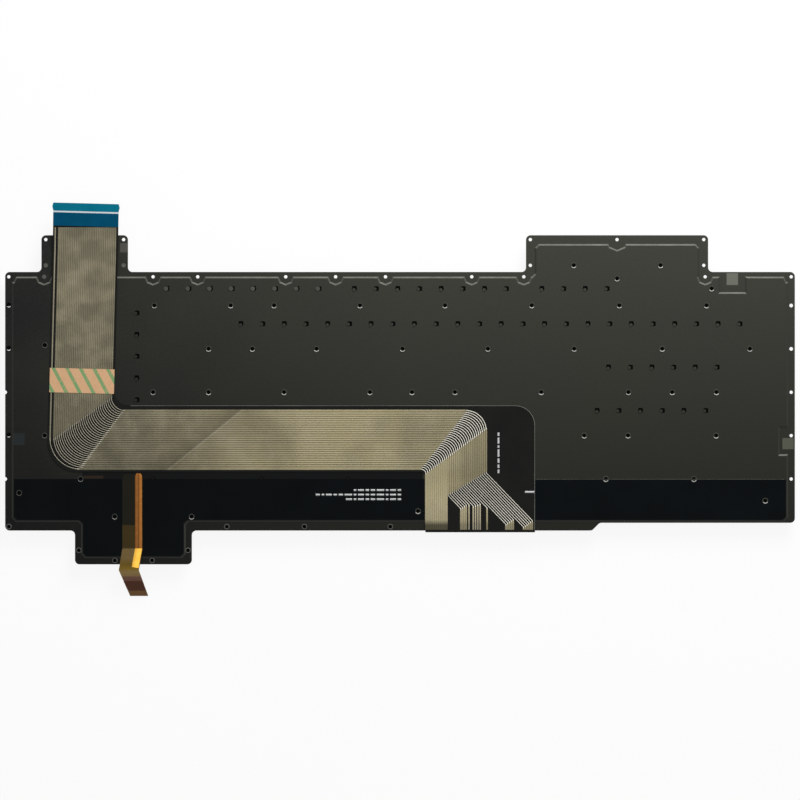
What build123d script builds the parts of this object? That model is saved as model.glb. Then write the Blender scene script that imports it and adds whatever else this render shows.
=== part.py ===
from build123d import *
from math import atan2, cos, degrees, hypot, radians, sin, tan
import os

# Laptop replacement keyboard, lying on its keys with the stamped back plate up.
# Millimetres. X runs along the rows, Y from the space bar to the function row, Z is up.
# The origin lies under the middle of the module, on the surface that the keys rest on.
# The front-left end of each row lies at +X, because the module is seen from behind.

# Keys by name, from the front-left end of each row
number_names = list("1234567890") + ["minus", "equals"]
upper_names = list("qwertyuiop") + ["bracket_open", "bracket_close"]
home_names = list("asdfghjkl") + ["semicolon", "quote"]
lower_names = list("zxcvbnm") + ["comma", "period", "slash"]
group_count = 3
group_keys = 4
pad_count = 4
hot_count = 4
row_count = 5

# Key cells
key_pitch = 19.0
pad_pitch = 15.35
function_depth = 11.8
grave_width = 15.4
backspace_width = 33.2
tab_width = 25.4
caps_width = 30.4
left_shift_width = 39.9
corner_control_width = 27.0
right_control_width = 31.0
thumb_key_width = 22.0
function_lead = 16.6
function_break = 6.1
arrow_depth = 15.4
zero_width = 14.4
power_key_width = 28.0
upper_key_depth = 11.8

# Keycaps
key_gap = 2.2
keycap_height = 2.2
keycap_draft = 10.0
crown_thickness = 0.9
skirt_thickness = 0.9
key_travel = 1.8
travel_spare = 0.1

# Rubber domes and scissor links under the keys that travel
dome_base_radius = 2.8
dome_draft = 18.0
dome_sides = 6
link_width = 10.4
link_length = 11.0
link_bar = 1.2
link_thickness = 0.8
link_clearance = 0.3
seat_clearance = 0.05

# Joined support of a key that is drawn in one piece
post_width = 8.0
post_depth = 5.0

# Layers of the module
membrane_thickness = 0.25
support_thickness = 0.4
guide_thickness = 0.4
sheet_thickness = 0.3
cover_thickness = 0.1
layer_clearance = 0.3

# Back plate outline
side_margin = 4.0
rear_margin = 2.9
front_margin = 3.6
front_step = 3.4
front_step_x = 87.5
front_step_angle = 45.0
upper_tab_reach = 16.1
arrow_tab_reach = 14.8
hot_tab_x = 95.1
hot_tab_width = 79.8
power_tab_x = -138.15
power_tab_width = 37.9
arrow_tab_x = -116.8
arrow_tab_width = 51.2
corner_radius = 2.0
support_inset = 3.4
membrane_inset = 3.8

# Raised pan of the back plate
side_flange = 3.3
rear_flange = 2.4
front_flange = 4.1
hot_tab_flange = 4.2
arrow_tab_flange = 3.0
pan_corner = 1.5
pan_bevel = 0.35
relief_radius = 3.2
tab_relief_radius = 4.5
ground_relief_gap = 10.6
ground_relief_width = 11.8
ground_relief_depth = 9.2
side_relief_y = -18.0
side_relief_width = 12.4
side_relief_depth = 7.0

# Holes of the back plate
screw_radius = 0.8
stake_sides = 6
relief_sides = 8
side_inset = 1.6
rear_inset = 2.1
front_inset = 1.7
tab_inset = 1.9
tab_root_rise = 2.9
tab_root_inset = 1.3
tab_root_outset = 0.95
notch_radius = 0.9
arrow_stake_rise = 6.1
arrow_stake_spread = 16.3
pierce_rim_radius = 1.25
pierce_bore_radius = 0.85
pierce_sides = 6
lance_length = 2.3
lance_width = 1.9
lance_slit = 0.8
lance_spread = 9.5
lance_rise = 1.5
tab_pierce_gap = 1.5
band_left_inset = 6.2
band_left_rise = 3.4
band_right_inset = 13.0
band_mid_x = 7.9
band_mid_drop = 4.6
arrow_pierce_left = 8.2
arrow_pierce_right = 25.5
arrow_pierce_drop = 7.0

# Places along a row, counted in key pitches from the front-left edge of the plate
rear_stakes = (7.45, 9.44, 10.59, 11.74, 13.77, 14.8, 17.31)
front_stakes = (9.33, 11.31, 13.1)
pierced_rows = (
    (2.04, 4.05, 6.07, 8.07, 10.03, 12.01, 13.01, 14.77),
    (1.04, 3.06, 5.09, 7.08, 9.05, 11.03, 12.51, 13.52),
    (1.81, 2.83, 3.84, 5.85, 7.84, 8.83, 9.8, 11.78, 13.52, 14.8),
    (1.82, 3.85, 4.86, 17.3),
    (2.33, 4.36, 10.31, 12.3, 14.8, 16.47),
)

# Cover film over the front of the plate
cover_inset = 0.3

# Membrane tail, folded round the front edge and led to the power tab
tail_thickness = 0.15
tail_root_x = 35.1
tail_root_width = 48.0
run_rear_y = -2.5
run_width = 29.1
climb_x = -139.95
climb_width = 28.6
climb_lean = 1.5
root_corner_radius = 8.6
inner_bend_radius = 6.0
outer_bend_radius = 13.0
root_bend_radius = 2.0
rise_setback = 6.0
rise_radius = 60.0
rise_angle = 6.0
tail_overhang = 13.8
stiffener_length = 10.0
stiffener_thickness = 0.2
stiffener_ear = 0.45
stiffener_pull_length = 3.3
tape_y = 8.3
tape_width = 28.3
tape_length = 10.7
tape_thickness = 0.15

# Backlight flex
flex_thickness = 0.12
flex_x = -117.2
flex_width = 8.8
flex_rear_y = -32.4
flex_crease_inset = 7.0
flex_fold_reach = 2.5
flex_fold_rise = 1.3
flex_fold_shift = -1.45
flex_end_shift = 4.0
flex_end_width = 7.9
flex_overhang = 14.0
flex_end_lift = 0.3
flex_corner_radius = 2.0
flex_stiffener_length = 7.6
flex_stiffener_thickness = 0.2
slot_width = 5.0
slot_depth = 1.2
led_strip_length = 110.0
led_strip_width = 5.0

# Levels, from the surface under the keys up to the back
membrane_z = keycap_height + key_travel + travel_spare
support_z = membrane_z + membrane_thickness
flange_z = support_z + support_thickness
pan_z = flange_z + guide_thickness
pan_top_z = pan_z + sheet_thickness
cover_top_z = pan_top_z + cover_thickness

# Plate edges that follow from the key cells
block_width = grave_width + len(number_names) * key_pitch + backspace_width
half_width = side_margin + (block_width + pad_count * pad_pitch) / 2
field_depth = rear_margin + function_depth + row_count * key_pitch + front_margin
half_depth = (field_depth + upper_tab_reach + arrow_tab_reach) / 2
plate_rear = half_depth - upper_tab_reach
plate_front = plate_rear - field_depth
tab_rear = half_depth
tab_front = -half_depth

# Row centres
function_y = plate_rear - rear_margin - function_depth / 2
number_y = function_y - (function_depth + key_pitch) / 2
row_y = [number_y - key_pitch * row for row in range(row_count)]
seam_y = [y + key_pitch / 2 for y in row_y]


def from_front_left(distance):
    """X of a place measured along a row from the front-left edge of the plate."""
    return half_width - distance


def lay_row(y, depth, start, cells):
    """Places of one row's keys as (name, x, y, cell width, cell depth)."""
    placed = []
    edge = start
    for name, width in cells:
        placed.append((name, from_front_left(edge + width / 2), y, width, depth))
        edge = edge + width
    return placed


def unit_cells(names):
    """Cells one key pitch wide."""
    return [(name, key_pitch) for name in names]


# Character keys and the space bar, which travel one by one
block_start = side_margin
block_end = side_margin + block_width
backslash_width = block_width - tab_width - len(upper_names) * key_pitch
space_start = corner_control_width + key_pitch + 2 * thumb_key_width
space_width = block_width - space_start - 2 * thumb_key_width - right_control_width

travelling_keys = (
    lay_row(row_y[0], key_pitch, block_start, [("grave", grave_width)] + unit_cells(number_names))
    + lay_row(
        row_y[1],
        key_pitch,
        block_start + tab_width,
        unit_cells(upper_names) + [("backslash", backslash_width)],
    )
    + lay_row(row_y[2], key_pitch, block_start + caps_width, unit_cells(home_names))
    + lay_row(row_y[3], key_pitch, block_start + left_shift_width, unit_cells(lower_names))
    + lay_row(row_y[4], key_pitch, block_start + space_start, [("space", space_width)])
)

# Function row: escape, then three groups of four
group_width = group_keys * key_pitch
function_starts = [
    block_start + key_pitch + function_lead + group * (group_width + function_break)
    for group in range(group_count)
]
function_names = [
    [f"f{group * group_keys + key + 1}" for key in range(group_keys)] for group in range(group_count)
]
function_keys = lay_row(function_y, function_depth, block_start, unit_cells(["escape"]))
for start, names in zip(function_starts, function_names):
    function_keys += lay_row(function_y, function_depth, start, unit_cells(names))

# Keys at both ends of the character rows
number_end = block_start + grave_width + len(number_names) * key_pitch
home_end = block_start + caps_width + len(home_names) * key_pitch
lower_end = block_start + left_shift_width + len(lower_names) * key_pitch
edge_keys = (
    lay_row(row_y[0], key_pitch, number_end, [("backspace", backspace_width)])
    + lay_row(row_y[1], key_pitch, block_start, [("tab", tab_width)])
    + lay_row(row_y[2], key_pitch, block_start, [("caps", caps_width)])
    + lay_row(row_y[2], key_pitch, home_end, [("enter", block_end - home_end)])
    + lay_row(row_y[3], key_pitch, block_start, [("left_shift", left_shift_width)])
    + lay_row(row_y[3], key_pitch, lower_end, [("right_shift", block_end - lower_end)])
)

# Modifier keys on both sides of the space bar
left_modifiers = [
    ("left_control", corner_control_width),
    ("fn", key_pitch),
    ("meta", thumb_key_width),
    ("left_alt", thumb_key_width),
]
right_modifiers = [
    ("right_alt", thumb_key_width),
    ("menu", thumb_key_width),
    ("right_control", right_control_width),
]
space_end = block_start + space_start + space_width
edge_keys += lay_row(row_y[4], key_pitch, block_start, left_modifiers)
edge_keys += lay_row(row_y[4], key_pitch, space_end, right_modifiers)

# Numeric pad, four narrow columns with a tall plus key and a tall enter key
tall_depth = 2 * key_pitch
tall_x = block_end + pad_pitch * (pad_count - 1)
zero_start = tall_x - 2 * zero_width
top_cells = [(f"top_{n}", pad_pitch) for n in range(pad_count)]
pad_cells = [(f"pad_{n}", pad_pitch) for n in range(pad_count)]
pad_keys = lay_row(function_y, function_depth, block_end, top_cells)
pad_keys += lay_row(row_y[0], key_pitch, block_end, pad_cells)
for y in row_y[1:4]:
    pad_keys += lay_row(y, key_pitch, block_end, pad_cells[:-1])
pad_keys += lay_row(seam_y[2], tall_depth, tall_x, [("pad_plus", pad_pitch)])
pad_keys += lay_row(seam_y[4], tall_depth, tall_x, [("pad_enter", pad_pitch)])
pad_keys += lay_row(
    row_y[4], key_pitch, zero_start, [("pad_zero", zero_width), ("pad_point", zero_width)]
)

# Arrow keys around the arrow tab, hot keys and the power key on the rear tabs
arrow_y = tab_front + arrow_tab_flange + arrow_depth / 2 - key_gap / 2
upper_y = plate_rear + upper_key_depth / 2 + key_gap / 2
arrow_keys = [
    ("right", arrow_tab_x - pad_pitch, arrow_y, pad_pitch, arrow_depth),
    ("down", arrow_tab_x, arrow_y, pad_pitch, arrow_depth),
    ("left", arrow_tab_x + pad_pitch, arrow_y, pad_pitch, arrow_depth),
    ("up", arrow_tab_x, arrow_y + arrow_depth, pad_pitch, arrow_depth),
]
hot_start = half_width - hot_tab_x - hot_count * key_pitch / 2
hot_keys = lay_row(upper_y, upper_key_depth, hot_start, unit_cells([f"hot_{n}" for n in range(hot_count)]))
power_keys = [("power", power_tab_x, upper_y, power_key_width, upper_key_depth)]
joined_keys = function_keys + edge_keys + pad_keys + arrow_keys + hot_keys + power_keys


def outline_points(inset):
    """Corners of the plate's outline, moved inwards by one distance."""
    step_shift = inset * tan(radians(front_step_angle / 2))
    step_run = front_step / tan(radians(front_step_angle))
    power_left = power_tab_x - power_tab_width / 2 + inset
    power_right = power_tab_x + power_tab_width / 2 - inset
    hot_left = hot_tab_x - hot_tab_width / 2 + inset
    hot_right = hot_tab_x + hot_tab_width / 2 - inset
    arrow_left = arrow_tab_x - arrow_tab_width / 2 + inset
    arrow_right = arrow_tab_x + arrow_tab_width / 2 - inset
    left = -half_width + inset
    right = half_width - inset
    rear = plate_rear - inset
    front = plate_front + inset
    return [
        (left, rear),
        (power_left, rear),
        (power_left, tab_rear - inset),
        (power_right, tab_rear - inset),
        (power_right, rear),
        (hot_left, rear),
        (hot_left, tab_rear - inset),
        (hot_right, tab_rear - inset),
        (hot_right, rear),
        (right, rear),
        (right, front + front_step),
        (front_step_x - step_shift, front + front_step),
        (front_step_x - step_run - step_shift, front),
        (arrow_right, front),
        (arrow_right, tab_front + inset),
        (arrow_left, tab_front + inset),
        (arrow_left, front),
        (left, front),
    ]


# Hole places
hot_corner_x = hot_tab_width / 2 - tab_inset
power_corner_x = power_tab_width / 2 - tab_inset
tab_hole_y = tab_rear - tab_inset
side_x = half_width - side_inset
side_screws = [(side * side_x, y) for side in (-1, 1) for y in seam_y[:2]]
ground_relief_x = hot_tab_x + hot_tab_width / 2 + ground_relief_gap
root_stake_x = [
    hot_tab_x + hot_tab_width / 2 - tab_root_inset,
    hot_tab_x - hot_tab_width / 2 - tab_root_outset,
]
rear_stake_x = root_stake_x + [from_front_left(n * key_pitch) for n in rear_stakes]
rear_stake_points = [(x, plate_rear - rear_inset) for x in rear_stake_x]
corner_stakes = [(side * side_x, plate_rear - rear_inset) for side in (-1, 1)]
right_stakes = [(side_x, y) for y in seam_y[2:]]
left_stakes = [(-side_x, seam_y[3]), (-side_x, plate_front + front_inset)]
tab_middle_stake = (hot_tab_x, tab_hole_y)
tab_rows = (tab_hole_y, plate_rear + tab_root_rise)
tab_stakes = [(hot_tab_x + side * hot_corner_x, y) for side in (-1, 1) for y in tab_rows]
tab_stakes += [(power_tab_x + side * power_corner_x, y) for side in (-1, 1) for y in tab_rows]
front_stake_points = [(from_front_left(n * key_pitch), plate_front + front_inset) for n in front_stakes]
arrow_side_x = arrow_tab_width / 2 - front_inset
arrow_stakes = [(arrow_tab_x + side * arrow_side_x, tab_front + arrow_stake_rise) for side in (-1, 1)]
arrow_stakes += [
    (arrow_tab_x + side * arrow_stake_spread / 2, tab_front + front_inset) for side in (-1, 1)
]
stakes = (
    rear_stake_points
    + corner_stakes
    + right_stakes
    + left_stakes
    + [tab_middle_stake]
    + tab_stakes
    + front_stake_points
    + arrow_stakes
)
edge_notches = [(-half_width, seam_y[2]), (-half_width, seam_y[4])]

# Pierced holes sit on the seams between the key rows, and a few on the tabs and the front band
pierced = [
    (from_front_left(n * key_pitch), y) for y, row in zip(seam_y, pierced_rows) for n in row
]
tab_pierced = [
    (hot_tab_x - key_pitch, plate_rear + tab_root_rise),
    (hot_tab_x + key_pitch, plate_rear + tab_root_rise),
    (hot_tab_x, function_y + function_depth / 2),
    (hot_tab_x + hot_tab_width / 2 + tab_pierce_gap, function_y + lance_rise),
]
band_pierced = [
    (half_width - band_right_inset, row_y[4]),
    (-half_width + band_left_inset, row_y[4] + band_left_rise),
    (arrow_tab_x - arrow_pierce_left, row_y[4] - arrow_pierce_drop),
    (arrow_tab_x + arrow_pierce_right, row_y[4] - arrow_pierce_drop),
    (band_mid_x, row_y[4] - band_mid_drop),
]
pierced += tab_pierced

# Lanced hook seats stand in pairs behind these keys
lanced_names = ["f3", "f4"] + function_names[1] + function_names[2] + number_names + list("qweasd")
lanced_places = [(x, y) for name, x, y, w, d in travelling_keys + function_keys if name in lanced_names]
lances_rear = [(x - lance_spread / 2, y + lance_rise) for x, y in lanced_places]
lances_side = [(x + lance_spread / 2, y + lance_rise) for x, y in lanced_places]
pad_lance_x = from_front_left(block_end + pad_pitch / 2)
lances_rear += [(pad_lance_x, y + lance_rise - lance_spread / 2) for y in row_y[:2]]
lances_side += [(pad_lance_x, y + lance_rise + lance_spread / 2) for y in row_y[:3]]

# Reliefs where the flange reaches into the pan round the holes of the rear edge
reliefs = rear_stake_points + corner_stakes


def pan_field(inset):
    """The pan's three rectangles without reliefs, moved inwards by one distance."""
    main_width = 2 * (half_width - side_flange - inset)
    main_rear = plate_rear - rear_flange - inset
    main_front = plate_front + front_flange + inset
    hot_rear = tab_rear - hot_tab_flange - inset
    arrow_front = tab_front + arrow_tab_flange + inset
    with BuildSketch() as field:
        with Locations((0, (main_rear + main_front) / 2)):
            Rectangle(main_width, main_rear - main_front)
        with Locations((hot_tab_x, hot_rear)):
            Rectangle(
                hot_tab_width - 2 * (hot_tab_flange + inset),
                hot_rear - row_y[0],
                align=(Align.CENTER, Align.MAX),
            )
        with Locations((arrow_tab_x, arrow_front)):
            Rectangle(
                arrow_tab_width - 2 * (arrow_tab_flange + inset),
                row_y[3] - arrow_front,
                align=(Align.CENTER, Align.MIN),
            )
        chamfer(field.vertices(), length=pan_corner)
    return field.sketch


def grounding_reliefs(inset):
    """The two rectangular reliefs of the pan, grown by one distance."""
    with BuildSketch() as grounds:
        with Locations((ground_relief_x, plate_rear)):
            Rectangle(
                ground_relief_width + 2 * inset,
                ground_relief_depth + inset,
                align=(Align.CENTER, Align.MAX),
            )
        with Locations((half_width, side_relief_y)):
            Rectangle(
                side_relief_depth + inset,
                side_relief_width + 2 * inset,
                align=(Align.MAX, Align.CENTER),
            )
    return grounds.sketch


def pan_profile(inset):
    """Outline of the raised pan with its reliefs, moved inwards by one distance."""
    with BuildSketch() as profile:
        add(pan_field(inset))
        with Locations(*reliefs):
            RegularPolygon(
                relief_radius + inset, relief_sides, major_radius=False, mode=Mode.SUBTRACT
            )
        with Locations(tab_middle_stake):
            RegularPolygon(
                tab_relief_radius + inset, relief_sides, major_radius=False, mode=Mode.SUBTRACT
            )
        add(grounding_reliefs(inset), mode=Mode.SUBTRACT)
    return profile.sketch


def export(builder, name):
    """Label one finished piece and write its file."""
    builder.part.label = name
    export_step(builder.part, f"parts/{name}.step")


os.makedirs("parts", exist_ok=True)

# Cutter of a pierced hole, its rim drawn towards the inside
pierce_flare = degrees(atan2(pierce_rim_radius - pierce_bore_radius, sheet_thickness))
with BuildPart() as pierce_cutter:
    with BuildSketch(Plane(origin=(0, 0, pan_top_z), z_dir=(0, 0, -1))):
        RegularPolygon(pierce_rim_radius, pierce_sides)
    extrude(amount=sheet_thickness, taper=pierce_flare)

# Cutter of a lanced hook seat: a ramp that ends in a slit through the sheet
with BuildPart() as lance_cutter:
    with BuildSketch(Plane.YZ):
        Polygon(
            (-lance_length / 2, pan_top_z),
            (lance_length / 2 - lance_slit, pan_z),
            (lance_length / 2, pan_z),
            (lance_length / 2, pan_top_z),
            align=None,
        )
    extrude(amount=lance_width / 2, both=True)

# Back plate: a flange with the screw holes round a raised pan, one stamped sheet
with BuildPart() as back_plate:
    with BuildSketch(Plane.XY.offset(flange_z)) as plate_outline:
        Polygon(*outline_points(0), align=None)
        fillet(plate_outline.vertices(), radius=corner_radius)
        with Locations(*edge_notches):
            RegularPolygon(notch_radius, stake_sides, mode=Mode.SUBTRACT)
    extrude(amount=sheet_thickness)
    with BuildSketch(Plane.XY.offset(flange_z)):
        add(pan_profile(0))
    extrude(amount=pan_top_z - flange_z)
    pan_edges = back_plate.faces().sort_by(Axis.Z)[-1].edges()
    chamfer(pan_edges, length=pan_bevel)
    with BuildSketch(Plane.XY.offset(flange_z)):
        add(pan_profile(sheet_thickness))
    extrude(amount=guide_thickness, mode=Mode.SUBTRACT)
    with BuildSketch(Plane.XY.offset(flange_z)):
        with Locations(*side_screws):
            Circle(screw_radius)
        with Locations(*stakes):
            RegularPolygon(screw_radius, stake_sides)
    extrude(amount=sheet_thickness, mode=Mode.SUBTRACT)
    with BuildSketch(Plane.XY.offset(pan_z)):
        with Locations((flex_x, flex_rear_y)):
            Rectangle(slot_width, slot_depth, align=(Align.CENTER, Align.MAX))
    extrude(amount=sheet_thickness, mode=Mode.SUBTRACT)
    with Locations(*pierced, *band_pierced):
        add(pierce_cutter.part, mode=Mode.SUBTRACT)
    with Locations(*lances_rear):
        add(lance_cutter.part, mode=Mode.SUBTRACT)
    with Locations(*lances_side):
        add(lance_cutter.part, rotation=(0, 0, -90), mode=Mode.SUBTRACT)
export(back_plate, "back_plate")

# Support plate that carries the scissor links, inside the ring of screw holes
with BuildPart() as support_plate:
    with BuildSketch(Plane.XY.offset(support_z)):
        Polygon(*outline_points(support_inset), align=None)
    extrude(amount=support_thickness)
export(support_plate, "support_plate")

# Light guide inside the pan, clear of the reliefs and of the strip of light sources
led_x = flex_x + led_strip_length / 2 - slot_width / 2
led_y = flex_rear_y - slot_depth / 2
guide_wall = sheet_thickness + layer_clearance
guide_inset = rear_inset + relief_radius - rear_flange + guide_wall
with BuildPart() as light_guide:
    with BuildSketch(Plane.XY.offset(flange_z)):
        add(pan_field(guide_inset))
        add(grounding_reliefs(guide_wall), mode=Mode.SUBTRACT)
        with Locations((led_x, led_y)):
            Rectangle(
                led_strip_length + 2 * layer_clearance,
                led_strip_width + 2 * layer_clearance,
                mode=Mode.SUBTRACT,
            )
    extrude(amount=guide_thickness)
export(light_guide, "light_guide")

# Cover film on the front band of the pan, open round the pierced holes there
with BuildPart() as cover_film:
    with BuildSketch(Plane.XY.offset(pan_top_z)):
        add(pan_profile(pan_bevel + cover_inset))
        with Locations((0, tab_front)):
            Rectangle(
                2 * half_width,
                seam_y[4] - tab_front,
                align=(Align.CENTER, Align.MIN),
                mode=Mode.INTERSECT,
            )
        with Locations(*band_pierced):
            RegularPolygon(pierce_rim_radius, pierce_sides, mode=Mode.SUBTRACT)
    extrude(amount=cover_thickness)
export(cover_film, "cover_film")

# Membrane circuit: the switch sheet under the keys and its tail, one folded film
tail_mid_z = cover_top_z + tail_thickness / 2
sheet_mid_z = membrane_z + membrane_thickness / 2
fold_radius = (tail_mid_z - sheet_mid_z) / 2
root_left = tail_root_x - tail_root_width / 2
root_right = tail_root_x + tail_root_width / 2
run_front_y = run_rear_y - run_width
run_mid_y = run_rear_y - run_width / 2
lean = radians(climb_lean)
climb_along = Vector(sin(lean), cos(lean), 0)
climb_across = Vector(cos(lean), -sin(lean), 0)
climb_base = Vector(climb_x, run_mid_y, 0)
climb_length = (plate_rear + rise_setback - run_mid_y) / cos(lean)
climb_end = climb_base + climb_along * climb_length


def climb_edge_x(side, y):
    """X of one edge of the leaning climb at a given Y."""
    return climb_x + side * climb_width / 2 / cos(lean) + (y - run_mid_y) * tan(lean)


climb_right = climb_end + climb_across * (climb_width / 2)
climb_left = climb_end - climb_across * (climb_width / 2)
tail_corners = [
    (root_left, plate_front),
    (root_right, plate_front),
    (root_right, run_rear_y),
    (climb_edge_x(1, run_rear_y), run_rear_y),
    (climb_right.X, climb_right.Y),
    (climb_left.X, climb_left.Y),
    (climb_edge_x(-1, run_front_y), run_front_y),
    (root_left, run_front_y),
]
tail_radii = [0, 0, root_corner_radius, inner_bend_radius, 0, 0, outer_bend_radius, root_bend_radius]

# The free end bends gently up from the plate, then runs straight
rise = radians(rise_angle)
bend_length = rise_radius * sin(rise)
bend_height = rise_radius * (1 - cos(rise))
free_length = (tab_rear + tail_overhang - climb_end.Y) / cos(lean) - bend_length
end_length = free_length / cos(rise)
rise_plane = Plane(
    origin=(climb_end.X, climb_end.Y, tail_mid_z),
    x_dir=climb_along,
    z_dir=climb_across,
)

with BuildPart() as membrane_circuit:
    with BuildSketch(Plane.XY.offset(membrane_z)):
        Polygon(*outline_points(membrane_inset), align=None)
        with Locations((tail_root_x, plate_front)):
            Rectangle(
                tail_root_width, front_step + membrane_inset, align=(Align.CENTER, Align.MIN)
            )
    extrude(amount=membrane_thickness)
    with BuildSketch(Plane.XY.offset(cover_top_z)):
        with BuildLine():
            FilletPolyline(*tail_corners, radius=tail_radii, close=True)
        make_face()
    extrude(amount=tail_thickness)
    with BuildSketch(Plane.YZ.offset(root_left)):
        with BuildLine():
            CenterArc(
                (plate_front, sheet_mid_z + fold_radius), fold_radius, start_angle=90, arc_size=180
            )
        trace(line_width=tail_thickness)
    extrude(amount=tail_root_width)
    with BuildSketch(rise_plane):
        with BuildLine():
            bend = JernArc((0, 0), (1, 0), rise_radius, rise_angle)
            PolarLine(bend @ 1, end_length, angle=rise_angle)
        trace(line_width=tail_thickness)
    extrude(amount=climb_width / 2, both=True)
export(membrane_circuit, "membrane_circuit")

# Stiffener on the tail's end, with a small ear on each side of its pull strip
tip_offset = bend_length + end_length * cos(rise)
tip_height = bend_height + end_length * sin(rise)
surface_normal = climb_along * -sin(rise) + Vector(0, 0, cos(rise))
tip_point = climb_end + climb_along * tip_offset + Vector(0, 0, tail_mid_z + tip_height)
stiffener_plane = Plane(
    origin=tip_point + surface_normal * (tail_thickness / 2),
    x_dir=climb_across,
    z_dir=surface_normal,
)
half_climb = climb_width / 2
with BuildPart() as tail_stiffener:
    with BuildSketch(stiffener_plane):
        Polygon(
            (-half_climb, 0),
            (-half_climb - stiffener_ear, -stiffener_pull_length / 2),
            (-half_climb, -stiffener_pull_length),
            (-half_climb, -stiffener_length),
            (half_climb, -stiffener_length),
            (half_climb, -stiffener_pull_length),
            (half_climb + stiffener_ear, -stiffener_pull_length / 2),
            (half_climb, 0),
            align=None,
        )
    extrude(amount=stiffener_thickness)
export(tail_stiffener, "tail_stiffener")

# Adhesive tape with its release liner, across the climb
tape_x = climb_x + (tape_y - run_mid_y) * tan(lean)
tape_plane = Plane(
    origin=(tape_x, tape_y, cover_top_z + tail_thickness),
    x_dir=climb_across,
    z_dir=(0, 0, 1),
)
with BuildPart() as tail_tape:
    with BuildSketch(tape_plane):
        Rectangle(tape_width, tape_length)
    extrude(amount=tape_thickness)
export(tail_tape, "tail_tape")

# Backlight flex: a strip of light sources inside, led out through a slot and creased twice
flex_mid_z = cover_top_z + flex_thickness / 2
crease_y = tab_front + flex_crease_inset
fold_y = tab_front - flex_fold_reach
fold_z = flex_mid_z + flex_fold_rise
end_y = tab_front - flex_overhang
fold_run = hypot(crease_y - fold_y, fold_z - flex_mid_z)
fold_tilt = atan2(fold_z - flex_mid_z, crease_y - fold_y)
end_run = hypot(fold_y - end_y, fold_z - flex_end_lift)
end_tilt = atan2(flex_end_lift - fold_z, fold_y - end_y)


def flex_plane(y, z, tilt):
    """Plane of one flat stretch of the flex, its local Y running back to the rear."""
    return Plane(origin=(flex_x, y, z), x_dir=(1, 0, 0), z_dir=(0, sin(tilt), cos(tilt)))


half_flex = flex_width / 2
half_end = flex_end_width / 2
end_x = flex_fold_shift + flex_end_shift
end_plane = flex_plane(fold_y, fold_z, end_tilt)
with BuildPart() as backlight_flex:
    with BuildSketch(Plane.XY.offset(flex_mid_z)) as flat_stretch:
        with Locations((flex_x, flex_rear_y)):
            Rectangle(flex_width, flex_rear_y - crease_y, align=(Align.CENTER, Align.MAX))
        fillet(flat_stretch.vertices().group_by(Axis.Y)[-1], radius=flex_corner_radius)
    extrude(amount=flex_thickness / 2, both=True)
    with BuildSketch(flex_plane(crease_y, flex_mid_z, fold_tilt)):
        Polygon(
            (-half_flex, 0),
            (flex_fold_shift - half_flex, -fold_run),
            (flex_fold_shift + half_flex, -fold_run),
            (half_flex, 0),
            align=None,
        )
    extrude(amount=flex_thickness / 2, both=True)
    with BuildSketch(end_plane):
        Polygon(
            (flex_fold_shift - half_flex, 0),
            (end_x - half_end, -end_run),
            (end_x + half_end, -end_run),
            (flex_fold_shift + half_flex, 0),
            align=None,
        )
    extrude(amount=flex_thickness / 2, both=True)
    with BuildSketch(Plane.XY.offset(flange_z)):
        with Locations((led_x, led_y)):
            Rectangle(led_strip_length, led_strip_width)
    extrude(amount=guide_thickness)
    with BuildSketch(Plane.XY.offset(pan_z)):
        with Locations((flex_x, flex_rear_y - layer_clearance)):
            Rectangle(
                slot_width - 2 * layer_clearance,
                slot_depth - 2 * layer_clearance,
                align=(Align.CENTER, Align.MAX),
            )
    extrude(amount=flex_mid_z - pan_z)
export(backlight_flex, "backlight_flex")

# Stiffener under the contacts at the end of the flex
root_share = 1 - flex_stiffener_length / end_run
root_x = flex_fold_shift + flex_end_shift * root_share
half_root = half_flex + (half_end - half_flex) * root_share
with BuildPart() as flex_stiffener:
    with BuildSketch(end_plane.offset(flex_thickness / 2)):
        Polygon(
            (root_x - half_root, -end_run * root_share),
            (end_x - half_end, -end_run),
            (end_x + half_end, -end_run),
            (root_x + half_root, -end_run * root_share),
            align=None,
        )
    extrude(amount=flex_stiffener_thickness)
export(flex_stiffener, "flex_stiffener")

# Rubber domes between the crowns and the membrane, one behind each travelling key
dome_points = [(x, y) for name, x, y, width, depth in travelling_keys]
dome_plane = Plane(origin=(0, 0, membrane_z), z_dir=(0, 0, -1))
with BuildPart() as dome:
    with BuildSketch(dome_plane):
        RegularPolygon(dome_base_radius, dome_sides)
    extrude(amount=membrane_z - crown_thickness - seat_clearance)
    dome_walls = dome.faces().filter_by(Axis.Z, reverse=True)
    draft(dome_walls, neutral_plane=dome_plane, angle=dome_draft)
with BuildPart() as rubber_domes:
    with Locations(*dome_points):
        add(dome.part)
export(rubber_domes, "rubber_domes")

# Scissor links: an outer and an inner fork that cross at half height
link_mid_z = (crown_thickness + membrane_z) / 2
link_room = membrane_z - crown_thickness - 2 * seat_clearance - link_thickness
link_tilt = atan2(link_room, link_length)
inner_width = link_width - 2 * link_bar - 2 * link_clearance


def link_plane(tilt):
    """Lower plane of one tilted fork."""
    return Plane(
        origin=(0, 0, link_mid_z), x_dir=(1, 0, 0), z_dir=(0, sin(tilt), cos(tilt))
    ).offset(-link_thickness / 2)


with BuildPart() as link_pair:
    for width, tilt in ((link_width, link_tilt), (inner_width, -link_tilt)):
        with BuildSketch(link_plane(tilt)):
            Rectangle(width, link_length)
            with Locations((0, link_bar)):
                Rectangle(width - 2 * link_bar, link_length, mode=Mode.SUBTRACT)
    extrude(amount=link_thickness)
with BuildPart() as scissor_links:
    with Locations(*dome_points):
        add(link_pair.part)
export(scissor_links, "scissor_links")


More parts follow.
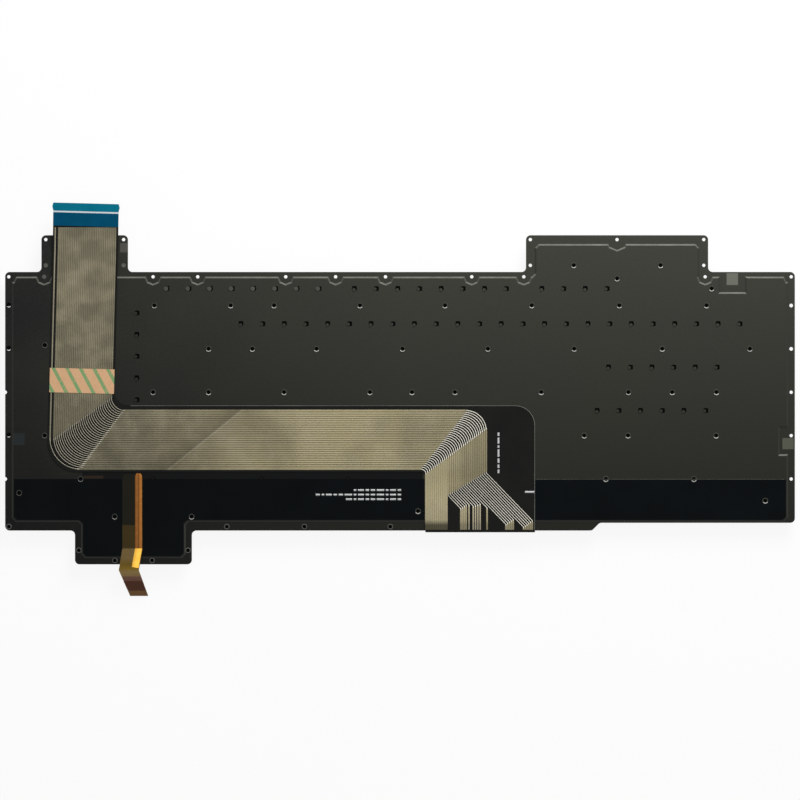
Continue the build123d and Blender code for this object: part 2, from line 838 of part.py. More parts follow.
def rim_plane(x, y):
    """Plane of a keycap's rim, facing down to its crown."""
    return Plane(origin=(x, y, keycap_height), z_dir=(0, 0, -1))


# Keys past the character keys, each keycap in one piece with its support
with BuildPart() as joined_set:
    for name, x, y, width, depth in joined_keys:
        with BuildSketch(rim_plane(x, y)):
            Rectangle(width - key_gap, depth - key_gap)
    extrude(amount=keycap_height, taper=keycap_draft)
    for name, x, y, width, depth in joined_keys:
        with BuildSketch(rim_plane(x, y)):
            Rectangle(post_width, post_depth)
    extrude(amount=keycap_height - membrane_z)
export(joined_set, "joined_keys")

# Keys that travel, each a hollow keycap with its crown down and drafted walls
for name, x, y, width, depth in travelling_keys:
    rim_width = width - key_gap
    rim_depth = depth - key_gap
    with BuildPart() as keycap:
        with BuildSketch(rim_plane(x, y)):
            Rectangle(rim_width, rim_depth)
        extrude(amount=keycap_height)
        walls = keycap.faces().filter_by(Axis.Z, reverse=True)
        draft(walls, neutral_plane=rim_plane(x, y), angle=keycap_draft)
        with BuildSketch(rim_plane(x, y)):
            Rectangle(rim_width - 2 * skirt_thickness, rim_depth - 2 * skirt_thickness)
        extrude(amount=keycap_height - crown_thickness, mode=Mode.SUBTRACT)
    export(keycap, f"key_{name}")
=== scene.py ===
# %% [markdown]
# A laptop keyboard module, as sold for repairs, seen from its back.
# The solids come ready from the frame: the stamped plate, the films and the keys.
# This lesson gives each of them its finish, prints the silver tracks on the tail,
# and adds the small things that a stamping press and a printer leave behind.

# %% Load the frame
import math

import bmesh
import bpy
from mathutils import Matrix, Vector
from mathutils.bvhtree import BVHTree


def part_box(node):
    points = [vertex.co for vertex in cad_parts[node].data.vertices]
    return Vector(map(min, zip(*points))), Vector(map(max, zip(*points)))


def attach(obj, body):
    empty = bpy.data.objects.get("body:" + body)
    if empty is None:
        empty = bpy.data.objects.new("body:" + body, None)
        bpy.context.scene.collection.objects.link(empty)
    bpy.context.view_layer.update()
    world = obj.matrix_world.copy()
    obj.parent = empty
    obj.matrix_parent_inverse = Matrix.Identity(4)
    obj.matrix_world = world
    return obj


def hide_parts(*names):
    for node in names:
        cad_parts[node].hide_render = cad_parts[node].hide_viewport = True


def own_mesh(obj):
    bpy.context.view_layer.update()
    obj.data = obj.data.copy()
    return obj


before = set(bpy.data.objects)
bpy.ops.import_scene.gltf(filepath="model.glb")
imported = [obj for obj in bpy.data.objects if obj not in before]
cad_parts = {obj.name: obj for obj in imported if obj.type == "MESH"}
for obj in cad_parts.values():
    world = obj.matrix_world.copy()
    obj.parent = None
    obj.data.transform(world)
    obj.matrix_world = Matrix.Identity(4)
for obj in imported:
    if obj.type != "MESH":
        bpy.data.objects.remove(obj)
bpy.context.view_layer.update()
MM = 0.001


# %% [markdown]
# Every finish is a small tree of nodes. One helper adds a node, sets it up, and links or
# fills its inputs: a node given as an input is linked by its first live output. One turns
# a colour as it is written on a screen into the linear values that a shader works with.
# Patterns read Object coordinates, which are the frame's own metres. Many finishes need
# no more than two colours in fine grains, so one helper makes such a finish whole.

# %% Helpers for finishes
def add_node(tree, kind, feeds=None, **settings):
    """Add one node, set it up, and link or fill its inputs."""
    made = tree.nodes.new(kind)
    for name, value in settings.items():
        setattr(made, name, value)
    for key, value in (feeds or {}).items():
        for source in value if isinstance(value, list) else [value]:
            if isinstance(source, bpy.types.Node):
                source = next(out for out in source.outputs if out.enabled)
            if isinstance(source, bpy.types.NodeSocket):
                tree.links.new(source, made.inputs[key])
            else:
                made.inputs[key].default_value = source
    return made


def tint(code):
    """Linear colour of an sRGB hex code."""
    shares = [int(code[i:i + 2], 16) / 255 for i in (1, 3, 5)]
    linear = [s / 12.92 if s <= 0.04045 else ((s + 0.055) / 1.055) ** 2.4 for s in shares]
    return (*linear, 1.0)


def per_mm(size):
    """Scale of a pattern whose grains are this many millimetres."""
    return 1 / (size * MM)


def new_finish(name):
    """An empty material, its tree, and its place in the frame as X, Y and Z."""
    material = bpy.data.materials.new(name)
    material.use_nodes = True
    tree = material.node_tree
    tree.nodes.clear()
    place = add_node(tree, "ShaderNodeTexCoord").outputs["Object"]
    axes = add_node(tree, "ShaderNodeSeparateXYZ", {0: place}).outputs
    return material, tree, place, axes


def grained_finish(name, size, detail, low, high, inputs):
    """A material of two colours in grains of this many millimetres."""
    material, tree, place, axes = new_finish(name)
    grain = add_node(tree, "ShaderNodeTexNoise", {"Vector": place, "Scale": per_mm(size), "Detail": detail})
    colour = add_node(tree, "ShaderNodeMix", {0: grain, 6: tint(low), 7: tint(high)}, data_type="RGBA")
    shader = add_node(tree, "ShaderNodeBsdfPrincipled", {"Base Color": colour, **inputs})
    add_node(tree, "ShaderNodeOutputMaterial", {"Surface": shader})
    return material


def dress(nodes, material):
    """Give nodes of the frame their finish."""
    for name in nodes:
        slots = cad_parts[name].data.materials
        slots.clear()
        slots.append(material)
    print(material.name, "on", len(nodes))


# %% [markdown]
# The back plate is thin steel sheet with a coat of dark grey lacquer. The coat is satin,
# a little warm in colour and never quite even: it clouds over a few centimetres and has
# a fine tooth, drawn coarser than it is so that it shows. Light is painted into it too: the
# coat is drawn darker to the left and to the front, lighter to the right and to the rear.
# Where the sheet meets the case, four small fields are left bare, so that the module is
# grounded. The strip in front of the tail is drawn near black as painted shadow, with a
# brown trace of the flex's foot. They could be separate patches, but they have no
# thickness, so they are painted into the same material.

# %% Coated steel of the back plate
fields = [
    # Painted shadow: the strip in front of the tail is drawn near black.
    (-64.5, -33.2, 149.0, 3.4, "#0d0e0f"),
    (-134.2, -33.9, 8.5, 1.3, "#2c2119"),
    (145.6, 52.9, 5.0, 5.2, "#66675e"),
    (170.0, -19.2, 4.9, 4.9, "#54554a"),
    (-166.9, -17.2, 5.0, 5.2, "#262b2c"),
    (-121.0, 66.6, 3.3, 4.0, "#504f4a"),
]
coated_steel, tree, place, axes = new_finish("coated_steel")
# Painted light: the coat is drawn darker to the left and lighter to the right.
side = add_node(tree, "ShaderNodeMapRange", {"Value": axes["X"], "From Min": -0.17, "From Max": 0.0})
# Painted light: the coat is drawn darker to the front and lighter to the rear.
painted_rear_light = add_node(tree, "ShaderNodeMapRange", {
    "Value": axes["Y"], "From Min": -0.06, "From Max": 0.07, "To Min": 0.42, "To Max": 1.16,
})
cloud = add_node(tree, "ShaderNodeTexNoise", {"Vector": place, "Scale": per_mm(60), "Detail": 3})
patchy = add_node(tree, "ShaderNodeMapRange", {
    "Value": cloud, "From Min": 0.35, "From Max": 0.7, "To Max": 0.45,
})
tooth = add_node(tree, "ShaderNodeTexNoise", {"Vector": place, "Scale": per_mm(1.1), "Detail": 3})
speck = add_node(tree, "ShaderNodeMapRange", {
    "Value": tooth, "From Min": 0.4, "From Max": 0.8, "To Max": 0.14,
})
colour = add_node(tree, "ShaderNodeMix", {0: side, 6: tint("#1c1e1d"), 7: tint("#353630")}, data_type="RGBA")
for share, code in ((patchy, "#37382f"), (speck, "#45463f")):
    colour = add_node(tree, "ShaderNodeMix", {0: share, 6: colour, 7: tint(code)}, data_type="RGBA")
colour = add_node(tree, "ShaderNodeMix", {
    0: 1.0, 6: colour, 7: painted_rear_light,
}, data_type="RGBA", blend_type="MULTIPLY")
for x, y, wide, deep, code in fields:
    local = add_node(tree, "ShaderNodeMapping", {
        "Vector": place, "Location": (x * MM, y * MM, 0), "Scale": (wide / 2 * MM, deep / 2 * MM, 1),
    }, vector_type="TEXTURE")
    local = add_node(tree, "ShaderNodeVectorMath", {0: local}, operation="ABSOLUTE")
    sides = add_node(tree, "ShaderNodeSeparateXYZ", {0: local}).outputs
    furthest = add_node(tree, "ShaderNodeMath", {0: sides["X"], 1: sides["Y"]}, operation="MAXIMUM")
    inside = add_node(tree, "ShaderNodeMath", {0: furthest, 1: 1.0}, operation="LESS_THAN")
    colour = add_node(tree, "ShaderNodeMix", {0: inside, 6: colour, 7: tint(code)}, data_type="RGBA")
relief = add_node(tree, "ShaderNodeBump", {"Height": tooth, "Distance": 0.03 * MM, "Strength": 0.25})
gloss = add_node(tree, "ShaderNodeMapRange", {"Value": cloud, "To Min": 0.38, "To Max": 0.55})
shader = add_node(tree, "ShaderNodeBsdfPrincipled", {
    "Base Color": colour, "Roughness": gloss, "Specular IOR Level": 0.2, "Normal": relief,
})
add_node(tree, "ShaderNodeOutputMaterial", {"Surface": shader})
dress(["back_plate"], coated_steel)

# %% [markdown]
# Inside the plate lie a bright support sheet and a light guide with a black mask on its
# back. They show only through holes and along the edge, and the mask is why every hole
# in the plate looks black.

# %% Sheets inside
rolled_aluminium, tree, place, axes = new_finish("rolled_aluminium")
rolled = add_node(tree, "ShaderNodeMapping", {
    "Vector": place, "Scale": (per_mm(20), per_mm(0.4), per_mm(0.4)),
})
grain = add_node(tree, "ShaderNodeTexNoise", {"Vector": rolled, "Scale": 1.0, "Detail": 3})
colour = add_node(tree, "ShaderNodeMix", {0: grain, 6: tint("#8f9090"), 7: tint("#b4b5b4")}, data_type="RGBA")
shader = add_node(tree, "ShaderNodeBsdfPrincipled", {"Base Color": colour, "Metallic": 1.0, "Roughness": 0.4})
add_node(tree, "ShaderNodeOutputMaterial", {"Surface": shader})
dress(["support_plate"], rolled_aluminium)

mask_ink = grained_finish("mask_ink", 0.8, 2, "#030303", "#080808", {
    "Roughness": 0.85, "Specular IOR Level": 0.05,
})
dress(["light_guide"], mask_ink)

# %% [markdown]
# The cover film and the circuit film are polyester, the first with a matt black face, the
# second with black ink under a smooth one. Film this thin lies almost flat, with a slow
# wave that shows only in its gloss.

# %% Black polyester films
film_facts = [
    ("matt_black_polyester", "cover_film", "#06090b", "#0e1214", 0.45, 0.07, 25),
    ("inked_polyester", "membrane_circuit", "#111211", "#1f201d", 0.32, 0.14, 30),
]
for name, node, low, high, roughness, specular, wave in film_facts:
    film, tree, place, axes = new_finish(name)
    haze = add_node(tree, "ShaderNodeTexNoise", {"Vector": place, "Scale": per_mm(12), "Detail": 4})
    colour = add_node(tree, "ShaderNodeMix", {0: haze, 6: tint(low), 7: tint(high)}, data_type="RGBA")
    swell = add_node(tree, "ShaderNodeTexNoise", {"Vector": place, "Scale": per_mm(wave)})
    relief = add_node(tree, "ShaderNodeBump", {"Height": swell, "Distance": 0.2 * MM, "Strength": 0.4})
    shader = add_node(tree, "ShaderNodeBsdfPrincipled", {
        "Base Color": colour, "Roughness": roughness, "Specular IOR Level": specular, "Normal": relief,
    })
    add_node(tree, "ShaderNodeOutputMaterial", {"Surface": shader})
    dress([node], film)

# %% [markdown]
# The tail ends in a stiffener, so that it can be pushed into a connector. It is blue
# polyester: a pull strip on top, a white line, and a deeper blue below. The colours
# change with the distance from the tail's tip, and the tail leans by a degree and a half,
# so the distance is measured along the lean.

# %% Blue stiffener
lean = math.radians(1.5)
along = Vector((math.sin(lean), math.cos(lean), 0))
tail_tip = Vector((-137.25, 85.89, 0)) * MM
pull_strip = 3.5 * MM
white_line = 0.7 * MM
blue_polyester, tree, place, axes = new_finish("blue_polyester")
reach = add_node(tree, "ShaderNodeVectorMath", {
    0: place, 1: tuple(along),
}, operation="DOT_PRODUCT").outputs["Value"]
depth = add_node(tree, "ShaderNodeMath", {0: tail_tip.dot(along), 1: reach}, operation="SUBTRACT")
cast = add_node(tree, "ShaderNodeTexNoise", {"Vector": place, "Scale": per_mm(5), "Detail": 3})
upper = add_node(tree, "ShaderNodeMix", {0: cast, 6: tint("#04667e"), 7: tint("#0a7891")}, data_type="RGBA")
lower = add_node(tree, "ShaderNodeMix", {0: cast, 6: tint("#004663"), 7: tint("#045274")}, data_type="RGBA")
past_strip = add_node(tree, "ShaderNodeMath", {0: depth, 1: pull_strip}, operation="GREATER_THAN")
past_line = add_node(tree, "ShaderNodeMath", {0: depth, 1: pull_strip + white_line}, operation="GREATER_THAN")
colour = add_node(tree, "ShaderNodeMix", {0: past_strip, 6: upper, 7: tint("#d5dade")}, data_type="RGBA")
colour = add_node(tree, "ShaderNodeMix", {0: past_line, 6: colour, 7: lower}, data_type="RGBA")
relief = add_node(tree, "ShaderNodeBump", {"Height": cast, "Distance": 0.05 * MM, "Strength": 0.3})
shader = add_node(tree, "ShaderNodeBsdfPrincipled", {
    "Base Color": colour, "Roughness": 0.38, "Specular IOR Level": 0.06, "Normal": relief,
})
add_node(tree, "ShaderNodeOutputMaterial", {"Surface": shader})
dress(["tail_stiffener"], blue_polyester)

# %% [markdown]
# The tape across the tail still has its release liner, a tan waxed paper. Such liners carry
# a light print so that they can be seen, here plain slanted bars in green, worn where the
# ink met the wax.

# %% Tape liner
waxed_paper, tree, place, axes = new_finish("waxed_paper")
bar_pitch = 5.2
bar_turn = math.radians(-28)
wave_length = 0.314  # of a wave texture whose scale is 1
turned = add_node(tree, "ShaderNodeMapping", {"Vector": place, "Rotation": (0, 0, bar_turn)})
bars = add_node(tree, "ShaderNodeTexWave", {
    "Vector": turned, "Scale": per_mm(bar_pitch) * wave_length, "Detail": 0,
}, wave_type="BANDS", bands_direction="X").outputs["Fac"]
print_share = add_node(tree, "ShaderNodeMapRange", {"Value": bars, "From Min": 0.78, "From Max": 0.83})
fibre = add_node(tree, "ShaderNodeTexNoise", {"Vector": place, "Scale": per_mm(0.9), "Detail": 4})
kept = add_node(tree, "ShaderNodeMapRange", {
    "Value": fibre, "From Min": 0.3, "From Max": 0.5, "To Min": 0.4, "To Max": 0.8,
})
worn_print = add_node(tree, "ShaderNodeMath", {0: print_share, 1: kept}, operation="MULTIPLY")
paper = add_node(tree, "ShaderNodeMix", {0: fibre, 6: tint("#cfa278"), 7: tint("#e2b890")}, data_type="RGBA")
colour = add_node(tree, "ShaderNodeMix", {0: worn_print, 6: paper, 7: tint("#4f9f68")}, data_type="RGBA")
relief = add_node(tree, "ShaderNodeBump", {"Height": fibre, "Distance": 0.03 * MM, "Strength": 0.4})
shader = add_node(tree, "ShaderNodeBsdfPrincipled", {
    "Base Color": colour, "Roughness": 0.55, "Specular IOR Level": 0.2, "Normal": relief,
})
add_node(tree, "ShaderNodeOutputMaterial", {"Surface": shader})
dress(["tail_tape"], waxed_paper)

# %% [markdown]
# The backlight flex is amber polyimide over copper. Over the black film it looks almost
# black, over the bare band it is olive, and past the plate's edge it is drawn lighter, painted light that
# comes through it.
# Its stiffener is several layers of the same film, so it is brown. The bands lie across
# the flex, so a colour ramp over Y places them.

# %% Polyimide of the flex
flex_top = -0.030
flex_end = -0.0862
flex_bands = [
    ("amber_polyimide", "backlight_flex", 0.3, 0.2, [
        (0.0, "#17180f"), (0.44, "#17180f"), (0.445, "#3f3214"), (0.62, "#3f3214"), (0.63, "#74603a"),
        (0.70, "#74603a"), (0.75, "#6a5319"), (0.79, "#806727"), (0.80, "#b89a62"), (0.84, "#a98a5c"),
        (0.845, "#8c6656"), (1.0, "#74553f"),
    ]),
    ("layered_polyimide", "flex_stiffener", 0.4, 0.2, [
        (0.0, "#633c2a"), (0.955, "#633c2a"), (0.96, "#8a653e"), (1.0, "#8a653e"),
    ]),
]
for name, node, roughness, specular, bands in flex_bands:
    film, tree, place, axes = new_finish(name)
    way = add_node(tree, "ShaderNodeMapRange", {
        "Value": axes["Y"], "From Min": flex_top, "From Max": flex_end,
    })
    ramp = add_node(tree, "ShaderNodeValToRGB", {"Fac": way})
    stops = ramp.color_ramp.elements
    stops[0].color, stops[1].color = tint(bands[0][1]), tint(bands[-1][1])
    for position, code in bands[1:-1]:
        stops.new(position).color = tint(code)
    grain = add_node(tree, "ShaderNodeTexNoise", {"Vector": place, "Scale": per_mm(2.5), "Detail": 3})
    share = add_node(tree, "ShaderNodeMapRange", {"Value": grain, "To Max": 0.25})
    colour = add_node(tree, "ShaderNodeMix", {0: share, 6: ramp, 7: tint("#2a1d12")}, data_type="RGBA")
    shader = add_node(tree, "ShaderNodeBsdfPrincipled", {
        "Base Color": colour, "Roughness": roughness, "Specular IOR Level": specular,
    })
    add_node(tree, "ShaderNodeOutputMaterial", {"Surface": shader})
    dress([node], film)

# %% [markdown]
# The keys are moulded from black ABS in a tool with a spark-eroded face, which leaves a
# fine even grain that takes away the gloss.

# %% Moulded keys
spark_abs, tree, place, axes = new_finish("spark_grained_abs")
grain = add_node(tree, "ShaderNodeTexNoise", {"Vector": place, "Scale": per_mm(0.35)})
colour = add_node(tree, "ShaderNodeMix", {0: grain, 6: tint("#0e0e0f"), 7: tint("#1b1b1c")}, data_type="RGBA")
relief = add_node(tree, "ShaderNodeBump", {"Height": grain, "Distance": 0.03 * MM, "Strength": 0.6})
shader = add_node(tree, "ShaderNodeBsdfPrincipled", {
    "Base Color": colour, "Roughness": 0.6, "Specular IOR Level": 0.3, "Normal": relief,
})
add_node(tree, "ShaderNodeOutputMaterial", {"Surface": shader})
key_names = sorted(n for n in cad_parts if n.startswith("key_"))
dress([*key_names, "joined_keys"], spark_abs)


# %% [markdown]
# What repeats or follows a path is made with Geometry Nodes. A tree has named inputs for
# its sizes and a material, and ends in Realize Instances and Set Material. It runs on a
# carrier, a mesh of bare points or lines, and gives a plain mesh; the carrier goes.

# %% Helpers for trees
def start_tree(name, sizes):
    """A tree with geometry in and out, named sizes and a material."""
    tree = bpy.data.node_groups.new(name, "GeometryNodeTree")
    tree.interface.new_socket("Geometry", in_out="OUTPUT", socket_type="NodeSocketGeometry")
    tree.interface.new_socket("Geometry", in_out="INPUT", socket_type="NodeSocketGeometry")
    for label in sizes:
        tree.interface.new_socket(label, in_out="INPUT", socket_type="NodeSocketFloat")
    tree.interface.new_socket("Material", in_out="INPUT", socket_type="NodeSocketMaterial")
    return tree, add_node(tree, "NodeGroupInput").outputs


def close_tree(tree, geometry, material):
    """End the tree with plain geometry that has its material."""
    real = add_node(tree, "GeometryNodeRealizeInstances", {0: geometry})
    made = add_node(tree, "GeometryNodeSetMaterial", {"Geometry": real, "Material": material})
    add_node(tree, "NodeGroupOutput", {0: made})


def run_tree(tree, name, points, edges, values, shares=None):
    """Run a tree on a carrier of points and lines, and keep a plain object."""
    mesh = bpy.data.meshes.new(name + "_carrier")
    mesh.from_pydata([tuple(p) for p in points], edges, [])
    share = mesh.attributes.new("share", "FLOAT", "POINT")
    share.data.foreach_set("value", shares or [1.0] * len(points))
    carrier = bpy.data.objects.new(name + "_carrier", mesh)
    bpy.context.scene.collection.objects.link(carrier)
    modifier = carrier.modifiers.new("tree", "NODES")
    modifier.node_group = tree
    for item in tree.interface.items_tree:
        if item.name in values:
            modifier[item.identifier] = values[item.name]
    depsgraph = bpy.context.evaluated_depsgraph_get()
    made = bpy.data.objects.new(name, bpy.data.meshes.new_from_object(carrier.evaluated_get(depsgraph)))
    bpy.data.objects.remove(carrier)
    bpy.context.scene.collection.objects.link(made)
    return made


def chain(lines):
    """Points and edges of several open lines."""
    points, edges = [], []
    for line in lines:
        first = len(points)
        points += line
        edges += [(first + i, first + i + 1) for i in range(len(line) - 1)]
    return points, edges


# %% [markdown]
# The tail carries silver tracks. From the fold at the front edge, twelve of them run
# straight up and twenty-one slant over from their contacts. Together they turn left along
# the run, turn up again at the far corner, and climb to the stiffener. In each bend the
# tracks keep their own radius, so they spread there and the black film shows between.
# They could be painted, but each track follows its own path, so each is a printed ribbon.

# %% Route of one silver track
track_count = 33
straight_count = 12
film_top = 5.70
ink_height = 0.02
track_end = 75.5
contact_y = -56.9
contact_groups = (
    (26.66, 4, 0.77, 0.75), (30.19, 1, 0.0, 0.63), (32.04, 4, 1.01, 0.62), (38.1, 1, 0.0, 0.7),
    (46.38, 5, 0.79, 0.77), (54.08, 6, 0.76, 0.75),
)
contacts = [(x + pitch * n, width) for x, count, pitch, width in contact_groups for n in range(count)]
climb_foot = Vector((-139.95, -17.05))
lift_y = 62.0
lift_steps = 16
root_width = 0.82
run_width = 0.77
climb_width = 0.79
slant_width = 0.27
bend_widths = (0.29, 0.22)
first_width = 0.6
step_up = 0.8
slant_rate = 0.965
slant_rise = 0.612
slant_start_x = 21.25
slant_start_y = -42.1
run_span = (-30.38, -4.72)
root_span = (11.35, 37.75)
climb_span = (-11.73, 13.0)
first_offset = -13.35
near_radii = (2.2, 8.8)
far_radii = (13.4, 6.0)
root_play = 0.09
run_play = 0.06
run_taper = 0.05


def between(low, high, share):
    """Value on the way from low to high."""
    return low + (high - low) * share


def round_corner(before, corner, after, radius, steps=10):
    """Points of the arc that rounds one corner."""
    into, out = (corner - before).normalized(), (after - corner).normalized()
    turn = math.acos(max(-1.0, min(1.0, into.dot(out))))
    hand = 1 if into.x * out.y - into.y * out.x > 0 else -1
    start = corner - into * radius * math.tan(turn / 2)
    centre = start + Vector((-into.y, into.x)) * hand * radius
    return [centre + Matrix.Rotation(hand * turn * i / steps, 2) @ (start - centre) for i in range(steps + 1)]


def climb_point(offset, y):
    """Point of the leaning climb, at an offset from its middle line."""
    return Vector((climb_foot.x + offset / math.cos(lean) + (y - climb_foot.y) * math.tan(lean), y))


film_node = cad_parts["membrane_circuit"].data
film_faces = [face.vertices for face in film_node.polygons]
film_shape = BVHTree.FromPolygons([vertex.co for vertex in film_node.vertices], film_faces)


def on_film(spot):
    """Middle of the ink over one place of the film's upper face, in metres."""
    above = Vector((spot.x * MM, spot.y * MM, 1.0))
    height = film_shape.ray_cast(above, Vector((0, 0, -1)))[0].z
    return Vector((above.x, above.y, height + ink_height / 2 * MM))


def track_route(number):
    """Points of one track from its contact to the stiffener, and its width at each."""
    share = number / (track_count - 1)
    run_y = between(*run_span, share)
    root_x = between(*root_span, share)
    offset = between(*climb_span, (number - 1) / (track_count - 2)) if number else first_offset
    slanted = number - straight_count
    root = root_width
    route, widths = [Vector((root_x, contact_y))], [root]
    if slanted >= 0:
        root -= root_play * abs(math.sin(0.5 * (slanted + 1)))
        contact_x, contact_width = contacts[slanted]
        slant_top = slant_start_y + slant_rise * (root_x - slant_start_x)
        slant_foot = slant_top - (contact_x - root_x) / slant_rate
        route = [Vector((contact_x, y)) for y in (contact_y, slant_foot - step_up, slant_foot)]
        route += [Vector((root_x, y)) for y in (slant_top, slant_top + step_up)]
        widths = [contact_width, contact_width, slant_width, slant_width, root]
    run = run_width - run_taper * (1 - share) - run_play * abs(math.sin(2.4 * number))
    climb = climb_width if number else first_width
    near, far, top = Vector((root_x, run_y)), climb_point(offset, run_y), climb_point(offset, lift_y)
    for corner, radius, before, bend, after in (
        ((route[-1], near, far), between(*near_radii, share), root, bend_widths[0], run),
        ((near, far, top), between(*far_radii, share), run, bend_widths[1], climb),
    ):
        arc = round_corner(*corner, radius)
        route += arc
        widths += [before] + [bend] * (len(arc) - 2) + [after]
    lift_places = [between(lift_y - 1, track_end, i / lift_steps) for i in range(lift_steps + 1)]
    lift = [climb_point(offset, y) for y in lift_places]
    return [on_film(spot) for spot in route + lift], widths + [climb] * len(lift)


# %% [markdown]
# Silver ink is flakes of metal in a binder: it shines, but less than a metal, and each
# track has brighter and duller stretches. Near the fold it is darkened by painted shade.
# A crease crosses the run: a painted highlight along it and painted shade behind it, and
# the ink is drawn darker towards the left. The ribbon tree turns lines into flat bands.

# %% Silver tracks
crease_foot, crease_top = Vector((-101.6, -30.6, 0)) * MM, Vector((-69.6, -4.8, 0)) * MM
crease_side = (crease_top - crease_foot).cross(Vector((0, 0, -1))).normalized()
silver_ink, tree, place, axes = new_finish("silver_ink")
# Painted shade: the ink is drawn darker towards the left.
left_shade = add_node(tree, "ShaderNodeMapRange", {"Value": axes["X"], "From Min": -0.115, "From Max": -0.05})
flake = add_node(tree, "ShaderNodeTexNoise", {"Vector": place, "Scale": per_mm(9), "Detail": 5})
shine = add_node(tree, "ShaderNodeMapRange", {
    "Value": flake, "From Min": 0.4, "From Max": 0.7, "To Max": 0.5,
})
cloud = add_node(tree, "ShaderNodeTexNoise", {"Vector": place, "Scale": per_mm(26), "Detail": 3})
dull = add_node(tree, "ShaderNodeMapRange", {
    "Value": cloud, "From Min": 0.42, "From Max": 0.65, "To Max": 0.4,
})
root = add_node(tree, "ShaderNodeMapRange", {
    "Value": axes["Y"], "From Min": -0.034, "From Max": -0.044, "To Max": 0.15,
})
# Painted shade where the film bends over the fold.
near_fold = add_node(tree, "ShaderNodeMapRange", {
    "Value": axes["Y"], "From Min": -52.6 * MM, "From Max": -54.8 * MM,
})
inner = add_node(tree, "ShaderNodeMapRange", {
    "Value": axes["X"], "From Min": 21 * MM, "From Max": 23 * MM, "To Min": 0.8, "To Max": 0.35,
})
fold_shade = add_node(tree, "ShaderNodeMath", {0: near_fold, 1: inner}, operation="MULTIPLY")
# Painted shade behind the crease and a painted highlight along it.
aside = add_node(tree, "ShaderNodeVectorMath", {
    0: place, 1: tuple(crease_side),
}, operation="DOT_PRODUCT").outputs["Value"]
aside = add_node(tree, "ShaderNodeMath", {0: aside, 1: crease_foot.dot(crease_side)}, operation="SUBTRACT")
behind = add_node(tree, "ShaderNodeMath", {0: aside, 1: 0.0}, operation="GREATER_THAN")
shade = add_node(tree, "ShaderNodeMapRange", {
    "Value": aside, "From Min": 0.0, "From Max": 8 * MM, "To Min": 0.5, "To Max": 0.0,
})
shade = add_node(tree, "ShaderNodeMath", {0: shade, 1: behind}, operation="MULTIPLY")
near_crease = add_node(tree, "ShaderNodeMath", {0: aside}, operation="ABSOLUTE")
crease = add_node(tree, "ShaderNodeMapRange", {
    "Value": near_crease, "From Min": 0.1 * MM, "From Max": 0.6 * MM, "To Min": 0.5, "To Max": 0.0,
})
crease = add_node(tree, "ShaderNodeMath", {0: crease, 1: flake}, operation="MULTIPLY")
ink_width = add_node(tree, "ShaderNodeAttribute", attribute_name="share").outputs["Fac"]
narrow = add_node(tree, "ShaderNodeMapRange", {
    "Value": ink_width, "From Min": 0.45, "From Max": 0.65, "To Min": 0.95, "To Max": 0.0,
})
colour = add_node(tree, "ShaderNodeMix", {0: left_shade, 6: tint("#7d7762"), 7: tint("#b1a682")}, data_type="RGBA")
keen = add_node(tree, "ShaderNodeMix", {0: left_shade, 6: tint("#cdc6b0"), 7: tint("#fffaea")}, data_type="RGBA")
for share, over in (
    (shine, tint("#b5ac90")), (dull, tint("#635e4b")), (root, tint("#c4ba98")), (fold_shade, tint("#15140f")),
    (shade, tint("#5a5544")), (crease, tint("#c8c2ad")), (narrow, keen),
):
    colour = add_node(tree, "ShaderNodeMix", {0: share, 6: colour, 7: over}, data_type="RGBA")
shader = add_node(tree, "ShaderNodeBsdfPrincipled", {
    "Base Color": colour, "Metallic": 0.15, "Roughness": 0.42, "Specular IOR Level": 0.3,
})
add_node(tree, "ShaderNodeOutputMaterial", {"Surface": shader})

ribbon_tree, sockets = start_tree("ribbon", ["Width", "Height"])
path = add_node(ribbon_tree, "GeometryNodeMeshToCurve", {0: sockets["Geometry"]})
upright = add_node(ribbon_tree, "GeometryNodeSetCurveNormal", {0: path}, mode="Z_UP")
section = add_node(ribbon_tree, "GeometryNodeCurvePrimitiveQuadrilateral", {
    "Width": sockets["Width"], "Height": sockets["Height"],
})
width_share = add_node(ribbon_tree, "GeometryNodeInputNamedAttribute", {"Name": "share"}, data_type="FLOAT")
band = add_node(ribbon_tree, "GeometryNodeCurveToMesh", {
    "Curve": upright, "Profile Curve": section, "Scale": width_share, "Fill Caps": True,
})
close_tree(ribbon_tree, band, sockets["Material"])
routes = [track_route(n) for n in range(track_count)]
tracks = run_tree(ribbon_tree, "silver_tracks", *chain([route for route, widths in routes]), {
    "Width": 1.0 * MM, "Height": ink_height * MM, "Material": silver_ink,
}, [width for route, widths in routes for width in widths])
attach(tracks, "module")
print("silver_tracks", len(tracks.data.polygons))

# %% [markdown]
# Along the cut edge of each film a thin pale line is drawn, a painted highlight.
# The print on the films is white ink: a mark for lining up, and small print that is only
# plain dashes here. Both follow lines, so the ribbon tree makes them.

# %% Cut edges and white print
cover_top = 5.55
cover_edge_y = -34.8
edge_radius = 8.5
cut_width = 0.24
print_width = 0.85
edge_highlight_film = grained_finish("edge_highlight_film", 18, 2, "#2f312e", "#83867d", {
    "Roughness": 0.4, "Specular IOR Level": 0.2,
})
rear_left, rear_right, front_right = Vector((-118.0, -2.62)), Vector((58.98, -2.62)), Vector((58.98, -57.0))
tail_edge = [rear_left, *round_corner(rear_left, rear_right, front_right, edge_radius), front_right]
cover_edge = [Vector((x * MM, cover_edge_y * MM, (cover_top + 0.005) * MM)) for x in (59.4, 168.9)]
edge_highlights = run_tree(ribbon_tree, "edge_highlights", *chain([[on_film(spot) for spot in tail_edge], cover_edge]), {
    "Width": cut_width * MM, "Height": ink_height * MM, "Material": edge_highlight_film,
}, [1.0] * len(tail_edge) + [0.5] * len(cover_edge))
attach(edge_highlights, "module")

